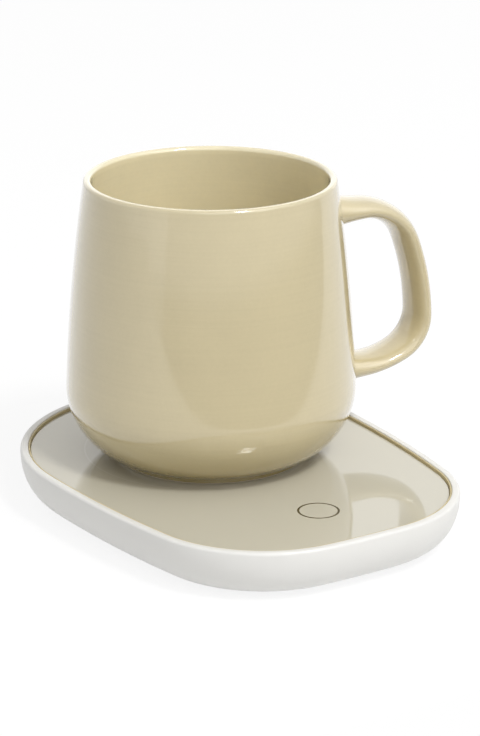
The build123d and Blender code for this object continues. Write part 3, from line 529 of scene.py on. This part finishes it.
# A printed ring: a mask that is 1 on the line and 0 elsewhere
ring_print, ring_in, ring_out = effect_group(
    "printed_ring",
    [("Center X", "NodeSocketFloat", 0.0), ("Center Y", "NodeSocketFloat", 0.0),
     ("Radius", "NodeSocketFloat", 0.01), ("Line Width", "NodeSocketFloat", 0.0005)],
    [("Mask", "NodeSocketFloat")])
ring_xyz = place_xyz(ring_print)
ring_dx = math_node(ring_print, "SUBTRACT", ring_xyz["X"], ring_in.outputs["Center X"])
ring_dy = math_node(ring_print, "SUBTRACT", ring_xyz["Y"], ring_in.outputs["Center Y"])
ring_dx2 = math_node(ring_print, "MULTIPLY", ring_dx, ring_dx)
ring_sum = math_node(ring_print, "MULTIPLY_ADD", ring_dy, ring_dy, ring_dx2)
ring_away = math_node(ring_print, "SQRT", ring_sum)
ring_off = math_node(ring_print, "SUBTRACT", ring_away, ring_in.outputs["Radius"])
ring_dist = math_node(ring_print, "ABSOLUTE", ring_off)
ring_half = math_node(ring_print, "MULTIPLY", ring_in.outputs["Line Width"], 0.5)
ring_in_line = math_node(ring_print, "SUBTRACT", ring_half, ring_dist)
ring_scaled = math_node(ring_print, "MULTIPLY_ADD", ring_in_line, 1.0 / line_softness, 0.5,
                        clamp=True)
ring_print.links.new(ring_scaled, ring_out.inputs["Mask"])


def mix_color(tree, mask, first, second):
    """Mixes two colours by a mask; each may be a socket or a colour."""
    node = tree.nodes.new("ShaderNodeMix")
    node.data_type = "RGBA"
    tree.links.new(mask, node.inputs["Factor"])
    for label, value in (("A", first), ("B", second)):
        socket = next(s for s in node.inputs if s.name == label and s.type == "RGBA")
        if isinstance(value, bpy.types.NodeSocket):
            tree.links.new(value, socket)
        else:
            socket.default_value = (*value, 1.0)
    return next(s for s in node.outputs if s.type == "RGBA")


deck_glass, deck_tree, deck_shader = new_finish("deck_glass")
deck_shader.inputs["IOR"].default_value = 1.58
deck_base = place_group(deck_tree, grain, Grain_per_metre=60.0, Patches_per_metre=14.0,
                        Tone_Change=0.02, Roughness=0.035, Gloss_Change=0.02,
                        Color=(*greige_print, 1.0))
zone_mask = place_group(deck_tree, ring_print, Center_X=zone_x, Center_Y=zone_y,
                        Radius=zone_radius, Line_Width=zone_line)
key_mask = place_group(deck_tree, ring_print, Center_X=key_x, Center_Y=key_y,
                       Radius=key_radius, Line_Width=key_line)
zone_cover = math_node(deck_tree, "MULTIPLY", zone_mask.outputs["Mask"], zone_print_cover)
with_zone = mix_color(deck_tree, zone_cover, deck_base.outputs["Color"], zone_print)
with_key = mix_color(deck_tree, key_mask.outputs["Mask"], with_zone, key_print)
deck_tree.links.new(with_key, deck_shader.inputs["Base Color"])
deck_tree.links.new(deck_base.outputs["Roughness"], deck_shader.inputs["Roughness"])
deck.data.materials.append(deck_glass)
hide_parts("glass_deck")
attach(deck, "warmer")

# ---------------------------------------------------------------------------------------------
# Feet: four moulded discs of black rubber with a bevelled lower edge. Each is glued into a recess
# of the floor, where it covers the head of a case screw.
# ---------------------------------------------------------------------------------------------

foot_bevel = 0.0004
foot_top = feet_high.z
foot_section = [(0.0, 0.0), (foot_radius - 3 * foot_bevel, 0.0)]
foot_section += quarter((foot_radius - foot_bevel, foot_bevel), foot_bevel, foot_bevel, -90, 0,
                        count=5)
foot_section += [(foot_radius, foot_top), (0.0, foot_top)]


def revolve(mesh, section, center_x, center_y, base_z, count):
    """Turns a section of (radius, height) points round an upright axis; its ends may lie on it."""
    rings = []
    for radius, height in section:
        if radius == 0.0:
            rings.append([mesh.verts.new((center_x, center_y, base_z + height))])
        else:
            rings.append([mesh.verts.new((x, y, base_z + height))
                          for x, y in circle(center_x, center_y, radius, count)])
    for low, high in zip(rings, rings[1:]):
        for i in range(count):
            j = (i + 1) % count
            if len(low) == 1:
                mesh.faces.new((low[0], high[j], high[i]))
            elif len(high) == 1:
                mesh.faces.new((low[i], low[j], high[0]))
            else:
                mesh.faces.new((low[i], low[j], high[j], high[i]))


feet_mesh = bmesh.new()
for x, y in foot_places:
    revolve(feet_mesh, foot_section, x, y, 0.0, foot_segments)
feet = finish_mesh(feet_mesh, "rubber_feet_discs", sharp_angle=40)
foot_rubber = grained_finish("foot_rubber", (0.035, 0.035, 0.035), roughness=0.7,
                             grain_per_metre=1800.0, grain_height=0.00003, tone_change=0.15)
feet.data.materials.append(foot_rubber)
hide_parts("rubber_feet")
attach(feet, "warmer")

# ---------------------------------------------------------------------------------------------
# Mug: slip-cast stoneware in a glossy khaki-beige glaze, with a wide round bowl that narrows
# to the rim. A painted highlight pales the lip, and painted shade darkens the glaze low down.
# Inside, the same glaze is painted lighter as painted light. It stands on an unglazed foot ring.
# ---------------------------------------------------------------------------------------------

mug_low, mug_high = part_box("mug_body")
mug_x = (mug_low.x + mug_high.x) / 2
mug_y = (mug_low.y + mug_high.y) / 2
mug_base = mug_low.z
mug_height = mug_high.z - mug_low.z
belly_radius = (mug_high.x - mug_low.x) / 2
rim_radius = 0.040
bowl_radius = 0.023
mug_wall = 0.0036
mug_lip = 0.0026
mug_foot_radius = 0.0312
mug_foot_width = 0.004
mug_foot_height = 0.0016
mug_foot_recess = 0.0008
foot_outer_round = 0.0004
foot_inner_round = 0.0003
foot_glaze_gap = 0.0002
shoulder_angle = 2.5
mug_segments = 224
wall_steps = 36
floor_steps = 5


def tangent_arc(start, heading, end, count):
    """Points on the arc that leaves start along heading and ends at end, without its start."""
    start, end = Vector(start), Vector(end)
    toward = Vector((-heading[1], heading[0]))
    chord = end - start
    radius = chord.length_squared / (2 * toward.dot(chord))
    center = start + radius * toward
    first = start - center
    last = end - center
    sweep = first.angle_signed(last)
    points = []
    for i in range(1, count + 1):
        angle = -sweep * i / count
        turned = Vector((first.x * cos(angle) - first.y * sin(angle),
                         first.x * sin(angle) + first.y * cos(angle)))
        points.append(tuple(center + turned))
    return points


bowl_x = belly_radius - bowl_radius
wall_heading = (-sin(radians(shoulder_angle)), cos(radians(shoulder_angle)))
lip_height = mug_height - mug_lip / 2
bowl_start_angle = degrees(acos((bowl_radius - mug_foot_height) / bowl_radius)) - 90
outer_bowl = quarter((bowl_x, bowl_radius), bowl_radius, bowl_radius, bowl_start_angle,
                     shoulder_angle, count=28)
outer_wall = tangent_arc(outer_bowl[-1], wall_heading, (rim_radius, lip_height), wall_steps)
lip = quarter((rim_radius - mug_lip / 2, lip_height), mug_lip / 2, mug_lip / 2, 0, 180,
              count=12)[1:]
inner_bowl = quarter((bowl_x, bowl_radius), bowl_radius - mug_wall, bowl_radius - mug_wall, -90,
                     shoulder_angle, count=24)
inner_wall = tangent_arc(inner_bowl[-1], wall_heading, (rim_radius - mug_lip, lip_height),
                         wall_steps)
foot_inner_radius = mug_foot_radius - mug_foot_width
foot_ring = [
    (0.0, mug_foot_recess),
    (foot_inner_radius - foot_outer_round, mug_foot_recess),
    (foot_inner_radius, mug_foot_recess - foot_inner_round),
    (foot_inner_radius + foot_inner_round, 0.0),
    (mug_foot_radius - foot_outer_round, 0.0),
    (mug_foot_radius, foot_outer_round),
    (mug_foot_radius, mug_foot_height - foot_glaze_gap),
]
mug_section = foot_ring + outer_bowl + outer_wall + lip + inner_wall[::-1][1:] + inner_bowl[::-1]
mug_section += [(bowl_x * (1.0 - step / floor_steps), mug_wall) for step in range(1, floor_steps)]
mug_section.append((0.0, mug_wall))
mug_mesh = bmesh.new()
revolve(mug_mesh, mug_section, mug_x, mug_y, mug_base, mug_segments)
mug = finish_mesh(mug_mesh, "mug_stoneware", sharp_angle=40)

# Glaze: a faint mottle, specks and fine turning lines; a painted highlight that makes the lip
# paler, and painted shade, a deeper colour low down on the mug
glaze, glaze_in, glaze_out = effect_group(
    "mug_glaze",
    [("Color", "NodeSocketColor", (0.6, 0.5, 0.3, 1)),
     ("Thin Color", "NodeSocketColor", (1, 1, 1, 1)),
     ("Deep Color", "NodeSocketColor", (0.5, 0.4, 0.2, 1)),
     ("Pool Height", "NodeSocketFloat", 0.03), ("Pool Depth", "NodeSocketFloat", 0.01),
     ("Lip Height", "NodeSocketFloat", 0.1), ("Lip Depth", "NodeSocketFloat", 0.002)],
    [("Color", "NodeSocketColor"), ("Roughness", "NodeSocketFloat"), ("Height", "NodeSocketFloat")])
lip_highlight_strength = 0.12
smoothest = 0.07
roughness_change = 0.06
turning_share = 0.35
glaze_z = place_xyz(glaze)["Z"]
below_lip = math_node(glaze, "SUBTRACT", glaze_in.outputs["Lip Height"], glaze_z)
lip_share = math_node(glaze, "DIVIDE", below_lip, glaze_in.outputs["Lip Depth"])
lip_highlight = math_node(glaze, "SUBTRACT", 1.0, lip_share, clamp=True)
mottle = noise_node(glaze, per_metre=55.0, detail=5.0)
specks = noise_node(glaze, per_metre=900.0, detail=2.0)
turning = noise_node(glaze, per_metre=160.0, detail=2.0, stretch=(0.02, 0.02, 5.0))
glaze_tone = swing(glaze, mottle, amount=0.10, middle=1.0)
glaze_tone = swing(glaze, specks, amount=0.05, middle=glaze_tone)
glaze_tone = swing(glaze, turning, amount=0.06, middle=glaze_tone)
# Painted shade: towards the bottom of the mug the colour is mixed into a deeper one
into_painted_shade = math_node(glaze, "SUBTRACT", glaze_in.outputs["Pool Height"], glaze_z)
painted_shade_share = math_node(glaze, "DIVIDE", into_painted_shade, glaze_in.outputs["Pool Depth"], clamp=True)
painted_shade_mix = mix_color(glaze, painted_shade_share, glaze_in.outputs["Color"], glaze_in.outputs["Deep Color"])
# Painted highlight: the top of the lip is mixed a little towards a paler colour
lip_highlight_mix = math_node(glaze, "MULTIPLY", lip_highlight, lip_highlight_strength)
glaze_color = mix_color(glaze, lip_highlight_mix, toned(glaze, painted_shade_mix, glaze_tone),
                        glaze_in.outputs["Thin Color"])
glaze_roughness = math_node(glaze, "MULTIPLY_ADD", mottle, roughness_change, smoothest)
glaze_waves = math_node(glaze, "MULTIPLY_ADD", turning, turning_share, mottle)
glaze.links.new(glaze_color, glaze_out.inputs["Color"])
glaze.links.new(glaze_roughness, glaze_out.inputs["Roughness"])
glaze.links.new(glaze_waves, glaze_out.inputs["Height"])
# The paler colour of the painted highlight on the lip
lip_highlight_color = (0.76, 0.69, 0.52)
# Painted shade reaches this far up from the mug's base
painted_shade_depth = 0.020
lip_depth = 0.0014
glaze_relief = 0.00012


def glazed_finish(name, color, painted_shade_color):
    """The glaze, with a painted highlight on the lip and painted shade deepening it low down."""
    finish, tree, shader = new_finish(name)
    shader.inputs["IOR"].default_value = 1.5
    shader.inputs["Coat Weight"].default_value = 1.0
    shader.inputs["Coat IOR"].default_value = 1.5
    shader.inputs["Coat Roughness"].default_value = 0.05
    effect = place_group(tree, glaze, Color=(*color, 1.0), Thin_Color=(*lip_highlight_color, 1.0),
                         Deep_Color=(*painted_shade_color, 1.0), Pool_Height=mug_base + painted_shade_depth,
                         Pool_Depth=painted_shade_depth, Lip_Height=mug_high.z, Lip_Depth=lip_depth)
    tree.links.new(effect.outputs["Color"], shader.inputs["Base Color"])
    tree.links.new(effect.outputs["Roughness"], shader.inputs["Roughness"])
    add_bump(tree, effect.outputs["Height"], glaze_relief, shader)
    return finish


# The second colour given to each glaze is painted shade for its lowest part
mug_glaze = glazed_finish("mug_glaze", (0.60, 0.518, 0.323), (0.325, 0.25, 0.085))
# Painted light: the inside is the outer glaze painted lighter, for the light inside the mug
inside_glaze_painted_lighter = glazed_finish("mug_glaze_inside_painted_lighter", (0.80, 0.72, 0.49), (0.71, 0.62, 0.385))
bare_clay = grained_finish("mug_foot_clay", (0.62, 0.55, 0.43), roughness=0.85,
                           grain_per_metre=2500.0, grain_height=0.00004, tone_change=0.12)
mug_finishes = [mug_glaze, bare_clay, inside_glaze_painted_lighter]
for finish in mug_finishes:
    mug.data.materials.append(finish)

# The foot ring's lower face stays bare; faces that look towards the axis or up are the inside,
# which takes the glaze painted lighter as painted light
bare_height = 0.00035
bare_margin = 0.001
facing_up = 0.9
for face in mug.data.polygons:
    from_axis = face.center.xy - Vector((mug_x, mug_y))
    on_ring = from_axis.length > foot_inner_radius - bare_margin
    if on_ring and face.center.z < mug_base + bare_height:
        face.material_index = mug_finishes.index(bare_clay)
    elif face.normal.xy.dot(from_axis) < 0.0 or face.normal.z > facing_up:
        face.material_index = mug_finishes.index(inside_glaze_painted_lighter)
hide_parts("mug_body")
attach(mug, "mug")

# ---------------------------------------------------------------------------------------------
# Handle: an oval strap of the same clay on four tangent arcs, pressed on while the mug is wet,
# so its roots flow into the wall. It takes the same glaze.
# ---------------------------------------------------------------------------------------------

mug_turn = radians(-7.0)
handle_width = 0.0159
handle_thickness = 0.0067
handle_top = 0.075
shoulder_reach = 0.0524
# The arcs of the strap's middle line, from the top down: radius, and turn in degrees
handle_bends = ((0.01865, 68.9), (0.0796, 18.8), (0.0134, 66.7), (0.0331, 25.6))
upper_flare = 0.0043
upper_flare_run = 0.0145
lower_flare = 0.0029
lower_flare_run = 0.020
root_fillet = 0.0008
root_clear = 2 * root_fillet
root_sink = 0.0008
root_steps = 5
station_spacing = 0.0013
section_points = 56
handle_along = Vector((cos(mug_turn), sin(mug_turn), 0.0))
handle_across = Vector((-sin(mug_turn), cos(mug_turn), 0.0))


def wall_radius(height):
    """The mug's outer radius at a height above its base."""
    outline = outer_bowl + outer_wall
    for (r0, h0), (r1, h1) in zip(outline, outline[1:]):
        if h0 <= height <= h1:
            return r0 + (r1 - r0) * (height - h0) / (h1 - h0)
    return outline[-1][0]


def level_stations(start, end, height, heading):
    """Stations on a level run of the strap, the last one left out."""
    count = max(1, ceil(abs(end - start) / station_spacing))
    return [(start + (end - start) * i / count, height, heading) for i in range(count)]


def handle_stations():
    """The strap's middle line from the upper root to the lower: reach, height and heading."""
    reach, height, heading = shoulder_reach, handle_top, 0.0
    stations = level_stations(wall_radius(height) + root_clear, reach, height, heading)
    for radius, angle in handle_bends:
        count = ceil(radius * radians(angle) / station_spacing)
        after = heading - radians(angle)
        for i in range(count):
            here = heading + (after - heading) * i / count
            stations.append((reach + radius * (sin(heading) - sin(here)),
                             height - radius * (cos(heading) - cos(here)), here))
        reach += radius * (sin(heading) - sin(after))
        height -= radius * (cos(heading) - cos(after))
        heading = after
    end = wall_radius(height) + root_clear
    return stations + level_stations(reach, end, height, heading) + [(end, height, heading)]


def flare(from_wall, rise, run):
    """How much thicker the strap is at a distance from the wall."""
    return rise * max(1.0 - from_wall / run, 0.0) ** 2


def oval(thickness, grow=0.0):
    """The strap's oval section as (across, up) points, grown by grow all round."""
    return [((handle_width / 2 + grow) * cos(2 * pi * i / section_points),
             (thickness / 2 + grow) * sin(2 * pi * i / section_points))
            for i in range(section_points)]


def handle_point(mesh, reach, across, height):
    """A vertex by its reach from the mug's axis, its place across the strap and its height."""
    flat = Vector((mug_x, mug_y, 0.0)) + handle_along * reach + handle_across * across
    return mesh.verts.new((flat.x, flat.y, mug_base + height))


def root_rings(mesh, height, thickness, flip):
    """Rings that flow from the strap's end onto the wall, the last one just inside it."""
    profile = []
    for step in range(root_steps, -1, -1):
        away = root_fillet * step / root_steps
        profile.append((away, root_fillet - sqrt(root_fillet ** 2 - (root_fillet - away) ** 2)))
    profile.append((-root_sink, root_fillet))
    rings = []
    for away, grow in profile:
        ring = []
        for across, up in oval(thickness, grow):
            radius = wall_radius(height + up * flip)
            wall = sqrt(radius ** 2 - across ** 2)
            ring.append(handle_point(mesh, wall + away, across, height + up * flip))
        rings.append(ring)
    return rings


stations = handle_stations()
lengths = [root_clear]
for (r0, h0, _), (r1, h1, _) in zip(stations, stations[1:]):
    lengths.append(lengths[-1] + sqrt((r1 - r0) ** 2 + (h1 - h0) ** 2))
handle_length = lengths[-1] + root_clear

handle_mesh = bmesh.new()
handle_rings = root_rings(handle_mesh, stations[0][1], handle_thickness + upper_flare, 1)[::-1]
for (reach, height, heading), length in zip(stations, lengths):
    thickness = handle_thickness + flare(length, upper_flare, upper_flare_run)
    thickness += flare(handle_length - length, lower_flare, lower_flare_run)
    handle_rings.append([handle_point(handle_mesh, reach - up * sin(heading), across,
                                      height + up * cos(heading))
                         for across, up in oval(thickness)])
handle_rings += root_rings(handle_mesh, stations[-1][1], handle_thickness + lower_flare, -1)
skin(handle_mesh, handle_rings)
handle_mesh.faces.new(handle_rings[0])
handle_mesh.faces.new(handle_rings[-1])
handle = finish_mesh(handle_mesh, "mug_handle_strap", sharp_angle=60)
handle.data.materials.append(mug_glaze)
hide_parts("mug_handle")
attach(handle, "mug")

# ---------------------------------------------------------------------------------------------
# Stage: a pale table top, a white room and soft studio lamps. The camera and mirrored rays see
# table and room as white, with a faint shadow under the object. In front of the table's edge,
# gloss mirrors the dimmer floor of the room.
# ---------------------------------------------------------------------------------------------

table_front = -0.150
table_back = 6.0
table_side = 6.0
table_mesh = bmesh.new()
table_corners = [table_mesh.verts.new((x, y, 0.0))
                 for x, y in ((-table_side, table_front), (table_side, table_front),
                              (table_side, table_back), (-table_side, table_back))]
table_mesh.faces.new(table_corners)
table = finish_mesh(table_mesh, "floor", sharp_angle=30)
table_white, table_tree, table_shader = new_finish("floor_white")
table_lit = (0.78, 0.78, 0.78)
table_shadowed = (0.15, 0.15, 0.15)
table_glow = 0.865
table_shader.inputs["Roughness"].default_value = 1.0
table_shader.inputs["Specular IOR Level"].default_value = 0.0
table_shader.inputs["Emission Color"].default_value = (1.0, 1.0, 1.0, 1.0)


def seen_rays(tree):
    """1 for rays that see a thing: from the camera, mirrored or through glass; 0 for its light."""
    path = tree.nodes.new("ShaderNodeLightPath")
    mirrored = math_node(tree, "MAXIMUM", path.outputs["Is Glossy Ray"],
                         path.outputs["Is Transmission Ray"])
    return math_node(tree, "MAXIMUM", path.outputs["Is Camera Ray"], mirrored), mirrored


# The table lights the object as pale stone would. Where it is seen, most of its white is a glow,
# and the rest, which lamps light, keeps the shadow
table_seen, _ = seen_rays(table_tree)
table_tree.links.new(mix_color(table_tree, table_seen, table_lit, table_shadowed),
                     table_shader.inputs["Base Color"])
table_tree.links.new(math_node(table_tree, "MULTIPLY", table_seen, table_glow),
                     table_shader.inputs["Emission Strength"])
table.data.materials.append(table_white)

world = bpy.data.worlds.new("white_room")
bpy.context.scene.world = world
world.use_nodes = True
world_tree = world.node_tree
background = world_tree.nodes["Background"]
background.inputs["Color"].default_value = (1.0, 1.0, 1.0, 1.0)
room_light = 0.39
room_floor_level = -0.085
room_floor_softness = 0.04
room_floor_dimness = 0.6
room_seen, room_mirrored = seen_rays(world_tree)
world_z = place_xyz(world_tree, "Generated")["Z"]
below = math_node(world_tree, "SUBTRACT", room_floor_level, world_z)
on_floor = math_node(world_tree, "MULTIPLY_ADD", below, 1.0 / room_floor_softness, 0.5, clamp=True)
dimmed = math_node(world_tree, "MULTIPLY", on_floor, room_mirrored)
seen_light = math_node(world_tree, "MULTIPLY_ADD", dimmed, -room_floor_dimness, 1.0)
above_room = math_node(world_tree, "SUBTRACT", seen_light, room_light)
world_tree.links.new(math_node(world_tree, "MULTIPLY_ADD", room_seen, above_room, room_light),
                     background.inputs["Strength"])


lamp_distance = 2.0
lamp_aim = Vector((0.0, 0.0, 0.05))


def softbox(name, turn, tilt, width, height, watts):
    """A rectangular lamp facing the object; turn is from +X round to +Y, tilt is upwards."""
    lamp = bpy.data.lights.new(name, "AREA")
    lamp.shape = "RECTANGLE"
    lamp.size = width
    lamp.size_y = height
    lamp.energy = watts
    box = bpy.data.objects.new(name, lamp)
    turn, tilt = radians(turn), radians(tilt)
    outward = Vector((cos(turn) * cos(tilt), sin(turn) * cos(tilt), sin(tilt)))
    box.location = lamp_aim + lamp_distance * outward
    box.rotation_euler = outward.to_track_quat("Z", "Y").to_euler()
    bpy.context.scene.collection.objects.link(box)


softbox("front_softbox", turn=-97.6, tilt=38, width=2.4, height=1.8, watts=13.8)
softbox("key_softbox", turn=-85.0, tilt=53, width=0.30, height=0.30, watts=15.5)
softbox("right_softbox", turn=-62.6, tilt=50, width=1.6, height=1.4, watts=8.0)
softbox("side_softbox", turn=-17.6, tilt=45, width=1.1, height=1.1, watts=1.0)
softbox("back_card", turn=57.4, tilt=19, width=3.0, height=1.2, watts=4.2)
softbox("left_card", turn=162.4, tilt=10, width=3.2, height=1.4, watts=5.0)

# ---------------------------------------------------------------------------------------------
# Camera: a long lens, looking down a little from the front left at the middle of the object. Its
# focal length is given in pixels of the frame's long side.
# ---------------------------------------------------------------------------------------------

camera_azimuth = radians(-32.6337)
camera_elevation = radians(18.8627)
camera_distance = 0.903766
camera_target = Vector((-0.000709, -0.005692, 0.050))
focal_pixels = 2877.53
long_side_pixels = 736
backward = Vector((sin(camera_azimuth) * cos(camera_elevation),
                   -cos(camera_azimuth) * cos(camera_elevation), sin(camera_elevation)))
camera_data = bpy.data.cameras.new("camera")
camera_data.sensor_width = 36.0
camera_data.lens = focal_pixels * camera_data.sensor_width / long_side_pixels
camera = bpy.data.objects.new("camera", camera_data)
camera.location = camera_target + camera_distance * backward
camera.rotation_euler = (-backward).to_track_quat("-Z", "Y").to_euler()
bpy.context.scene.collection.objects.link(camera)
bpy.context.scene.camera = camera

bpy.context.scene.view_settings.view_transform = "Standard"
